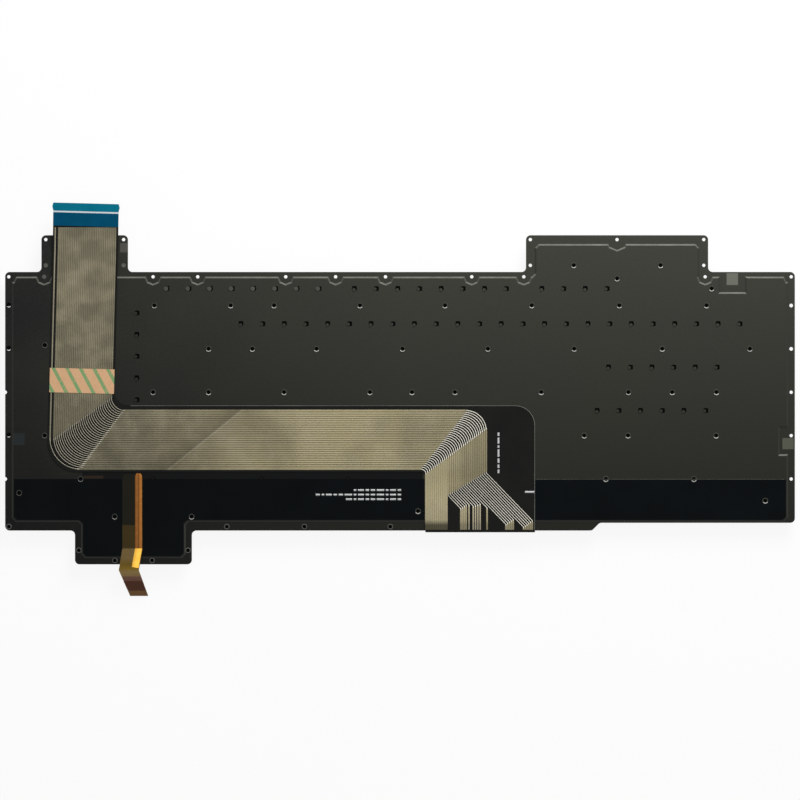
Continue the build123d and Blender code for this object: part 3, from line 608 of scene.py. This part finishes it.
white_ink = grained_finish("white_ink", 0.7, 3, "#8f9291", "#e8ebe9", {
    "Roughness": 0.6, "Specular IOR Level": 0.2,
})
dash_lengths = (1.5, 2.6, 1.1, 3.2, 1.9)
dash_gap = 0.75
print_lines = [
    ((43.1, -14.3), (0, -1), 17.8, film_top), ((0.5, -39.6), (-1, 0), 21.5, cover_top),
    ((0.5, -41.6), (-1, 0), 37.4, cover_top), ((0.5, -43.6), (-1, 0), 24.2, cover_top),
]
dashes = [((54.75, -40.4), (59.0, -40.4), film_top)]
for start, way, length, height in print_lines:
    start, way, done, count = Vector(start), Vector(way), 0.0, 0
    while done < length:
        stop = min(done + dash_lengths[count % len(dash_lengths)], length)
        dashes.append((start + way * done, start + way * stop, height))
        done, count = stop + dash_gap, count + 1
dash_routes = []
for *ends, height in dashes:
    ink_z = (height + ink_height / 2) * MM
    dash_routes.append([Vector((x * MM, y * MM, ink_z)) for x, y in ends])
dash_print = run_tree(ribbon_tree, "white_print", *chain(dash_routes), {
    "Width": print_width * MM, "Height": ink_height * MM, "Material": white_ink,
})
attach(dash_print, "module")
print("edge_highlights", len(edge_highlights.data.polygons), "white_print", len(dash_print.data.polygons))

# %% [markdown]
# The copper of the backlight flex shows through its film as one bright strip. It follows
# the flex over its crease, so it is a ribbon too. Where the film behind it ends, it is drawn
# golden and glows with its own emission, a painted glow of light that comes through. Along its
# middle the strip is drawn darker.

# %% Copper strip
strip_x = -114.5
strip_z = 5.685
golden_y = -65.1
copper_under_film, tree, place, axes = new_finish("copper_under_film")
golden = add_node(tree, "ShaderNodeMath", {0: axes["Y"], 1: golden_y * MM}, operation="LESS_THAN")
rub = add_node(tree, "ShaderNodeTexNoise", {"Vector": place, "Scale": per_mm(2), "Detail": 3})
from_middle = add_node(tree, "ShaderNodeMath", {0: axes["X"], 1: -strip_x * MM}, operation="ADD")
from_middle = add_node(tree, "ShaderNodeMath", {0: from_middle}, operation="ABSOLUTE")
# The strip is drawn darker along its middle.
dark_middle = add_node(tree, "ShaderNodeMapRange", {
    "Value": from_middle, "From Min": 0.1 * MM, "From Max": 0.7 * MM, "To Min": 0.75, "To Max": 0.0,
})
covered = add_node(tree, "ShaderNodeMix", {0: rub, 6: tint("#945a20"), 7: tint("#c07c3a")}, data_type="RGBA")
covered = add_node(tree, "ShaderNodeMix", {0: dark_middle, 6: covered, 7: tint("#5c3814")}, data_type="RGBA")
lit = add_node(tree, "ShaderNodeMix", {0: rub, 6: tint("#f5a92c"), 7: tint("#ffd25e")}, data_type="RGBA")
colour = add_node(tree, "ShaderNodeMix", {0: golden, 6: covered, 7: lit}, data_type="RGBA")
# Painted glow: the golden part glows with its own emission.
through = add_node(tree, "ShaderNodeMix", {0: golden, 6: tint("#000000"), 7: lit}, data_type="RGBA")
shader = add_node(tree, "ShaderNodeBsdfPrincipled", {
    "Base Color": colour, "Metallic": 0.15, "Roughness": 0.4, "Specular IOR Level": 0.3,
    "Emission Color": through, "Emission Strength": 0.36,
})
add_node(tree, "ShaderNodeOutputMaterial", {"Surface": shader})
strip_route = [Vector(p) * MM for p in (
    (strip_x, -32.2, strip_z), (strip_x, -32.5, strip_z), (strip_x, -33.4, strip_z),
    (strip_x, golden_y, strip_z), (-115.9, -73.4, 6.84),
)]
strip = run_tree(ribbon_tree, "copper_strip", *chain([strip_route]), {
    "Width": 3.06 * MM, "Height": 0.03 * MM, "Material": copper_under_film,
}, [0.4, 0.75, 1.0, 1.0, 1.0])
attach(strip, "module")
print("copper_strip", len(strip.data.polygons))

# %% [markdown]
# A press can't draw an upright wall: between flange and pan the sheet slopes. The lacquer is
# stretched there, and where the slope faces the rear it is drawn pale as painted highlight.
# That draws the thin bright line behind the pan. The frame has a small bevel, so the slope is
# laid over it: the bevel's own faces are copied, their lower edge goes out to the flange, and
# each face keeps in an attribute how much painted highlight it gets.

# %% Pressed shoulder round the pan
flange_top = 5.05
pan_top = 5.45
bevel_foot = 5.10
shoulder_reach = 0.35
shoulder_gap = 0.005
height_play = 0.02
lacquer_with_highlight, tree, place, axes = new_finish("lacquer_with_highlight")
# The share attribute sets how much painted highlight each face or piece gets.
painted_highlight = add_node(tree, "ShaderNodeAttribute", attribute_name="share").outputs["Fac"]
pull = add_node(tree, "ShaderNodeTexNoise", {"Vector": place, "Scale": per_mm(6), "Detail": 3})
highlight_colour = add_node(tree, "ShaderNodeMix", {0: pull, 6: tint("#5c5d55"), 7: tint("#a6a79d")}, data_type="RGBA")
colour = add_node(tree, "ShaderNodeMix", {0: painted_highlight, 6: tint("#30312c"), 7: highlight_colour}, data_type="RGBA")
shader = add_node(tree, "ShaderNodeBsdfPrincipled", {
    "Base Color": colour, "Roughness": 0.45, "Specular IOR Level": 0.4,
})
add_node(tree, "ShaderNodeOutputMaterial", {"Surface": shader})

work = bmesh.new()
work.from_mesh(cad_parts["back_plate"].data)
bmesh.ops.remove_doubles(work, verts=work.verts, dist=0.001 * MM)
work.normal_update()
bevel_faces = {
    face for face in work.faces
    if 0.6 < face.normal.z < 0.8
    and max(v.co.z for v in face.verts) > (pan_top - height_play) * MM
    and abs(min(v.co.z for v in face.verts) - bevel_foot * MM) < height_play * MM
}
bmesh.ops.delete(work, geom=[f for f in work.faces if f not in bevel_faces], context="FACES")
for corner in work.verts:
    if corner.co.z > (pan_top - height_play) * MM:
        corner.co.z = (pan_top + shoulder_gap) * MM
        continue
    outward = {(round(f.normal.x, 2), round(f.normal.y, 2)) for f in corner.link_faces}
    sides = [Vector((x, y)).normalized() for x, y in outward]
    mitre = sum(sides, Vector((0, 0)))
    mitre = mitre * len(sides) / max(mitre.length_squared, 0.5)
    corner.co += Vector((mitre.x, mitre.y, 0)) * shoulder_reach * MM
    corner.co.z = (flange_top + shoulder_gap) * MM
shoulder_mesh = bpy.data.meshes.new("pressed_shoulder")
work.to_mesh(shoulder_mesh)
work.free()
shoulder_mesh.materials.append(lacquer_with_highlight)
# Rear-facing faces get the most painted highlight.
highlight_shares = shoulder_mesh.attributes.new("share", "FLOAT", "FACE")
highlight_shares.data.foreach_set("value", [max(0.0, face.normal.y) for face in shoulder_mesh.polygons])
shoulder = bpy.data.objects.new("pressed_shoulder", shoulder_mesh)
bpy.context.scene.collection.objects.link(shoulder)
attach(shoulder, "module")
print("pressed_shoulder", len(shoulder_mesh.polygons))

# %% [markdown]
# A punch leaves a small raised collar round each pierced hole, a little pale from painted
# highlight. On one side of each collar a short arc of pale steel is a painted highlight,
# dimmer towards the left. All collars are alike, so a tree puts one arc of wire on each
# point: a whole ring for the collar, a short arc for the highlight. The holes stand on the
# seams between the key rows, and their places are counted in key pitches from the
# front-left edge.

# %% Collars of the pierced holes
key_pitch = 19.0
front_left = 173.0
seams = {
    41.3: (2.04, 4.05, 6.07, 8.07, 10.03, 12.01, 13.01, 14.77),
    22.3: (1.04, 3.06, 5.09, 7.08, 9.05, 11.03, 12.51, 13.52),
    3.3: (1.81, 2.83, 3.84, 5.85, 7.84, 8.83, 9.8, 11.78, 13.52, 14.8),
    -15.7: (1.82, 3.85, 4.86, 17.3),
    -34.7: (2.33, 4.36, 16.47),
}
pierced = [(front_left - key_pitch * n, y) for y, places in seams.items() for n in places]
pierced += [(76.1, 58.9), (114.1, 58.9), (95.1, 53.1), (136.5, 48.7)]
pierced += [(160.0, -44.2), (-166.8, -40.8), (-125.0, -51.2), (-91.3, -51.2), (7.9, -48.8), (-155.6, 23.9)]
collar_radius = 1.13
# Painted highlight on one side of each collar, drawn dimmer towards the left.
highlight_steel, tree, place, axes = new_finish("highlight_steel")
tear = add_node(tree, "ShaderNodeTexNoise", {"Vector": place, "Scale": per_mm(1.5), "Detail": 2})
burr_light_side = add_node(tree, "ShaderNodeMapRange", {"Value": axes["X"], "From Min": -0.16, "From Max": -0.08})
colour = add_node(tree, "ShaderNodeMix", {0: tear, 6: tint("#8f9089"), 7: tint("#f0f0ea")}, data_type="RGBA")
colour = add_node(tree, "ShaderNodeMix", {0: burr_light_side, 6: tint("#565752"), 7: colour}, data_type="RGBA")
shader = add_node(tree, "ShaderNodeBsdfPrincipled", {
    "Base Color": colour, "Metallic": 0.2, "Roughness": 0.35,
})
add_node(tree, "ShaderNodeOutputMaterial", {"Surface": shader})

collar_tree, sockets = start_tree("collars", ["Ring radius", "Wire radius", "Start", "Sweep"])
ring = add_node(collar_tree, "GeometryNodeCurveArc", {
    "Resolution": 15, "Radius": sockets["Ring radius"], "Start Angle": sockets["Start"],
    "Sweep Angle": sockets["Sweep"],
})
wire = add_node(collar_tree, "GeometryNodeCurvePrimitiveCircle", {
    "Resolution": 6, "Radius": sockets["Wire radius"],
})
collar = add_node(collar_tree, "GeometryNodeCurveToMesh", {"Curve": ring, "Profile Curve": wire})
collars = add_node(collar_tree, "GeometryNodeInstanceOnPoints", {
    "Points": sockets["Geometry"], "Instance": collar,
})
close_tree(collar_tree, collars, sockets["Material"])
collar_highlight = 0.12
for name, height, wire_radius, start, sweep, material in (
    ("pierced_collars", pan_top, 0.2, 0, 360, lacquer_with_highlight),
    ("pierced_highlights", pan_top + 0.08, 0.19, -150, 120, highlight_steel),
):
    rims = run_tree(collar_tree, name, [(x * MM, y * MM, height * MM) for x, y in pierced], [], {
        "Ring radius": collar_radius * MM, "Wire radius": wire_radius * MM, "Start": math.radians(start),
        "Sweep": math.radians(sweep), "Material": material,
    }, [collar_highlight] * len(pierced))
    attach(rims, "module")
    print(name, len(rims.data.polygons))

# %% [markdown]
# Behind the keys of the upper rows, pairs of half-round tongues are lanced out of the
# sheet as seats for the links. Each is a dark mouth with a leaf of the sheet beside it,
# low at the mouth. The mouth is a black disc laid on the sheet: the black mask shows
# through the opening, and round it the disc is painted shadow. The shallow leaves carry a
# little painted highlight. One tree serves both: a disc on each point, turned and tilted.

# %% Lanced tongues
lance_rows = ((139.35, 33.3, 12), (129.35, 14.3, 3), (124.35, -4.7, 3), (81.15, 48.7, 2), (37.05, 48.7, 4))
shallow_row = (-45.05, 48.7, 4)
lance_pair = 9.5
mouth_radius = 1.15
mouth_z = 5.455
leaf_z = 5.56
leaf_tilt = math.radians(-7)
leaf_highlight = 0.15
pad_x = -115.28
rear_lances = [(x - key_pitch * n, y) for x, y, count in lance_rows for n in range(count)]
side_lances = [(x + lance_pair, y) for x, y in rear_lances] + [(pad_x, 38.05), (pad_x, 19.05), (pad_x, 0.05)]
rear_lances += [(pad_x, 28.55), (pad_x, 9.55)]
shallow_x, shallow_y, shallow_count = shallow_row
shallow_lances = [
    (shallow_x - key_pitch * n + step, shallow_y) for n in range(shallow_count) for step in (0, lance_pair)
]
disc_tree, sockets = start_tree("discs", ["Radius", "Thickness", "Tilt", "Turn"])
disc = add_node(disc_tree, "GeometryNodeMeshCylinder", {
    "Vertices": 14, "Radius": sockets["Radius"], "Depth": sockets["Thickness"],
})
turned = add_node(disc_tree, "ShaderNodeCombineXYZ", {"X": sockets["Tilt"], "Z": sockets["Turn"]})
discs = add_node(disc_tree, "GeometryNodeInstanceOnPoints", {
    "Points": sockets["Geometry"], "Instance": disc, "Rotation": turned,
})
close_tree(disc_tree, discs, sockets["Material"])
for name, places, turn, shift, radius, material in (
    ("rear", rear_lances, 0.0, Vector((-0.2, -0.5)), 0.75, coated_steel),
    ("side", side_lances, -90.0, Vector((-0.5, -0.2)), 0.75, coated_steel),
    ("shallow", shallow_lances, -90.0, Vector((-0.45, 0.0)), 1.0, lacquer_with_highlight),
):
    mouth_spots = [(x * MM, y * MM, mouth_z * MM) for x, y in places]
    mouths = run_tree(disc_tree, name + "_lance_mouth_shadows", mouth_spots, [], {
        "Radius": mouth_radius * MM, "Thickness": 0.012 * MM, "Turn": math.radians(turn),
        "Material": mask_ink,
    })
    leaf_spots = [((x + shift.x) * MM, (y + shift.y) * MM, leaf_z * MM) for x, y in places]
    leaves = run_tree(disc_tree, name + "_lance_leaves", leaf_spots, [], {
        "Radius": radius * MM, "Thickness": 0.03 * MM, "Tilt": leaf_tilt, "Turn": math.radians(turn),
        "Material": material,
    }, [leaf_highlight] * len(places))
    for piece in (mouths, leaves):
        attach(piece, "module")
    print(name, "lances", len(places))

# %% [markdown]
# Posts of the keyboard's frame come through holes in the flange, and their ends are melted
# flat. Along the front edge the dark ends fill their holes, and a pale ring round them is a
# painted highlight. At the power tab the ends are painted with the sheet, with a little
# painted highlight. At the left side they stand off centre and leave a sliver of each hole
# open. Three more ends close pierced holes of the pan.

# %% Melted posts
filled = [(-4.27, -55.6), (-41.89, -55.6), (-75.9, -55.6), (-171.4, -55.6), (-140.7, -66.0), (-92.9, -66.0)]
filled += [(-124.95, -70.4), (-108.65, -70.4)]
painted = [(-155.2, 58.9), (-121.1, 58.9), (-155.89, 53.9)]
ajar = [(-171.4, 41.3), (-171.4, 22.3), (-171.4, -15.7)]
ajar_shift = 0.42
post_rise = 0.03
post_highlight = 0.3
dark = filled + [(x, y + ajar_shift) for x, y in ajar]
pan_posts = [(-166.8, -40.8), (-91.3, -51.2), (-155.6, 23.9)]
rim_spots = [(x * MM, y * MM, flange_top * MM) for x, y in filled]
post_pieces = [run_tree(collar_tree, "post_rims", rim_spots, [], {
    "Ring radius": 1.05 * MM, "Wire radius": 0.24 * MM, "Sweep": math.tau, "Material": lacquer_with_highlight,
}, [post_highlight] * len(filled))]
for name, places, height, material in (
    ("dark_post_ends", dark, flange_top, mask_ink),
    ("painted_post_ends", painted, flange_top, lacquer_with_highlight),
    ("pan_post_ends", pan_posts, pan_top, mask_ink),
):
    spots = [(x * MM, y * MM, (height + post_rise) * MM) for x, y in places]
    post_pieces.append(run_tree(disc_tree, name, spots, [], {
        "Radius": 0.95 * MM, "Thickness": 0.04 * MM, "Material": material,
    }, [post_highlight] * len(places)))
for piece in post_pieces:
    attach(piece, "module")
    print(piece.name, len(piece.data.polygons))

# %% [markdown]
# Behind each key sit a rubber dome and two crossing forks. The frame has them in two nodes
# for all keys, but a pressed key flattens only its own. So each key gets a dome and a pair
# of forks that stand for them.

# %% Dome and forks of one key
membrane_z = 4.1
dome_tip_z = 0.95
fork_middle_z = 2.5
fork_length = 11.0
fork_bar = 1.2
fork_thickness = 0.8
fork_tilt = math.atan2(2.3, fork_length)

silicone = grained_finish("silicone_rubber", 1.5, 2, "#b4b4b0", "#c9c9c5", {"Roughness": 0.45})
acetal = grained_finish("moulded_acetal", 2, 2, "#d0d0cc", "#dededa", {"Roughness": 0.4})

dome_tree, sockets = start_tree("dome", ["Tip radius", "Base radius", "Height"])
wall = add_node(dome_tree, "GeometryNodeMeshCone", {
    "Vertices": 18, "Radius Top": sockets["Base radius"], "Radius Bottom": sockets["Tip radius"],
    "Depth": sockets["Height"],
})
domes = add_node(dome_tree, "GeometryNodeInstanceOnPoints", {"Points": sockets["Geometry"], "Instance": wall})
close_tree(dome_tree, domes, sockets["Material"])

fork_tree, sockets = start_tree("forks", ["Outer width", "Inner width", "Length", "Bar", "Thickness"])
forks = []
for label, turn in (("Outer width", -fork_tilt), ("Inner width", fork_tilt)):
    spread = add_node(fork_tree, "ShaderNodeMath", {
        0: sockets[label], 1: sockets["Bar"],
    }, operation="SUBTRACT")
    half_width = add_node(fork_tree, "ShaderNodeMath", {0: spread, 1: 0.5}, operation="MULTIPLY")
    leg_size = add_node(fork_tree, "ShaderNodeCombineXYZ", {
        "X": sockets["Bar"], "Y": sockets["Length"], "Z": sockets["Thickness"],
    })
    leg = add_node(fork_tree, "GeometryNodeMeshCube", {"Size": leg_size})
    right_place = add_node(fork_tree, "ShaderNodeCombineXYZ", {"X": half_width})
    left_place = add_node(fork_tree, "ShaderNodeVectorMath", {
        0: right_place, "Scale": -1.0,
    }, operation="SCALE")
    legs = [add_node(fork_tree, "GeometryNodeTransform", {"Geometry": leg, "Translation": spot})
            for spot in (left_place, right_place)]
    bridge_size = add_node(fork_tree, "ShaderNodeCombineXYZ", {
        "X": half_width, "Y": sockets["Bar"], "Z": sockets["Thickness"],
    })
    bridge_size = add_node(fork_tree, "ShaderNodeVectorMath", {
        0: bridge_size, 1: (2.0, 1.0, 0.98),
    }, operation="MULTIPLY")
    bridge = add_node(fork_tree, "GeometryNodeMeshCube", {"Size": bridge_size})
    end = add_node(fork_tree, "ShaderNodeMath", {
        0: sockets["Length"], 1: sockets["Bar"],
    }, operation="SUBTRACT")
    end = add_node(fork_tree, "ShaderNodeMath", {0: end, 1: -0.5}, operation="MULTIPLY")
    end_place = add_node(fork_tree, "ShaderNodeCombineXYZ", {"Y": end})
    bridge = add_node(fork_tree, "GeometryNodeTransform", {"Geometry": bridge, "Translation": end_place})
    fork = add_node(fork_tree, "GeometryNodeJoinGeometry", {0: [*legs, bridge]})
    forks.append(add_node(fork_tree, "GeometryNodeTransform", {"Geometry": fork, "Rotation": (turn, 0, 0)}))
pair = add_node(fork_tree, "GeometryNodeJoinGeometry", {0: forks})
pairs = add_node(fork_tree, "GeometryNodeInstanceOnPoints", {"Points": sockets["Geometry"], "Instance": pair})
close_tree(fork_tree, pairs, sockets["Material"])

# %% [markdown]
# Dome and forks stand behind the middle of their key and rest on the circuit film. They are shown in place of
# the frame's own.

# %% One dome and one pair of forks for each key
for key in key_names:
    low, high = (Vector(corner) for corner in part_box(key))
    middle = (low + high) / 2
    dome = run_tree(dome_tree, "dome_" + key, [(middle.x, middle.y, dome_tip_z * MM)], [], {
        "Tip radius": 1.8 * MM, "Base radius": 2.8 * MM, "Height": (membrane_z - dome_tip_z) * MM,
        "Material": silicone,
    })
    fork_pair = run_tree(fork_tree, "forks_" + key, [(middle.x, middle.y, fork_middle_z * MM)], [], {
        "Outer width": 10.4 * MM, "Inner width": 7.4 * MM, "Length": fork_length * MM, "Bar": fork_bar * MM,
        "Thickness": fork_thickness * MM, "Material": acetal,
    })
    for piece, node, slot_name in (
        (dome, "rubber_domes", "dome_rubber"), (fork_pair, "scissor_links", "link_plastic"),
    ):
        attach(piece, "module")
        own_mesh(piece)
        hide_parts(node)
print("switches", len(key_names))

# %% [markdown]
# The stage is a plain pale floor under soft light: an even sky all round, and one wide
# lamp from the rear right, so that steps in the sheet have a light side and a dark one.
# The floor shows itself to the camera as near white and still takes the soft shadow.

# %% Floor, light and sky
white_share = 0.9
floor_finish, tree, place, axes = new_finish("pale_floor")
rays = add_node(tree, "ShaderNodeLightPath").outputs
seen = add_node(tree, "ShaderNodeMath", {
    0: rays["Is Camera Ray"], 1: rays["Is Glossy Ray"],
}, operation="MAXIMUM")
seen = add_node(tree, "ShaderNodeMath", {0: seen, 1: rays["Is Transmission Ray"]}, operation="MAXIMUM")
share = add_node(tree, "ShaderNodeMath", {0: seen, 1: white_share}, operation="MULTIPLY")
pale = add_node(tree, "ShaderNodeBsdfDiffuse", {"Color": tint("#f4f4f3")})
white = add_node(tree, "ShaderNodeEmission", {"Color": (1, 1, 1, 1), "Strength": 1.0})
mixed = add_node(tree, "ShaderNodeMixShader", {0: share, 1: pale, 2: white})
add_node(tree, "ShaderNodeOutputMaterial", {"Surface": mixed})
floor_mesh = bpy.data.meshes.new("floor")
floor_half = 6.0
floor_z = -0.0001
corners = [(-floor_half, -floor_half, floor_z), (floor_half, -floor_half, floor_z),
           (floor_half, floor_half, floor_z), (-floor_half, floor_half, floor_z)]
floor_mesh.from_pydata(corners, [], [(0, 1, 2, 3)])
floor_mesh.materials.append(floor_finish)
floor = bpy.data.objects.new("floor", floor_mesh)
bpy.context.scene.collection.objects.link(floor)

sky = bpy.data.worlds.new("sky")
sky.use_nodes = True
sky.node_tree.nodes.clear()
rays = add_node(sky.node_tree, "ShaderNodeLightPath").outputs
strength = add_node(sky.node_tree, "ShaderNodeMapRange", {
    "Value": rays["Is Camera Ray"], "To Min": 0.38, "To Max": 1.0,
})
backdrop = add_node(sky.node_tree, "ShaderNodeBackground", {"Color": (1, 1, 1, 1), "Strength": strength})
add_node(sky.node_tree, "ShaderNodeOutputWorld", {"Surface": backdrop})
bpy.context.scene.world = sky

lamp_data = bpy.data.lights.new("wide_lamp", "AREA")
lamp_data.energy = 6.4
lamp_data.shape = "DISK"
lamp_data.size = 0.4
lamp = bpy.data.objects.new("wide_lamp", lamp_data)
lamp_place = Vector((0.22, 0.58, 0.36))
lamp.location = lamp_place
lamp.rotation_euler = (-lamp_place).to_track_quat("-Z", "Y").to_euler()
lamp.visible_camera = False
lamp.visible_glossy = False
bpy.context.scene.collection.objects.link(lamp)
print("stage", floor.name, lamp.name)

# %% [markdown]
# The photograph was taken straight down from some way off. A long lens gives the same
# view: its field is as wide as the picture at the height of the plate.

# %% Camera
camera_data = bpy.data.cameras.new("overhead")
camera_distance = 1.4
picture_width = 0.3504
plate_top = 0.00545
camera_data.sensor_width = 36.0
camera_data.lens = camera_data.sensor_width * camera_distance / picture_width
camera_data.clip_end = 20.0
camera = bpy.data.objects.new("overhead", camera_data)
camera.location = (0, -0.00009, camera_distance + plate_top)
bpy.context.scene.collection.objects.link(camera)
bpy.context.scene.camera = camera
bpy.context.scene.view_settings.view_transform = "Standard"
print("lens", camera_data.lens)
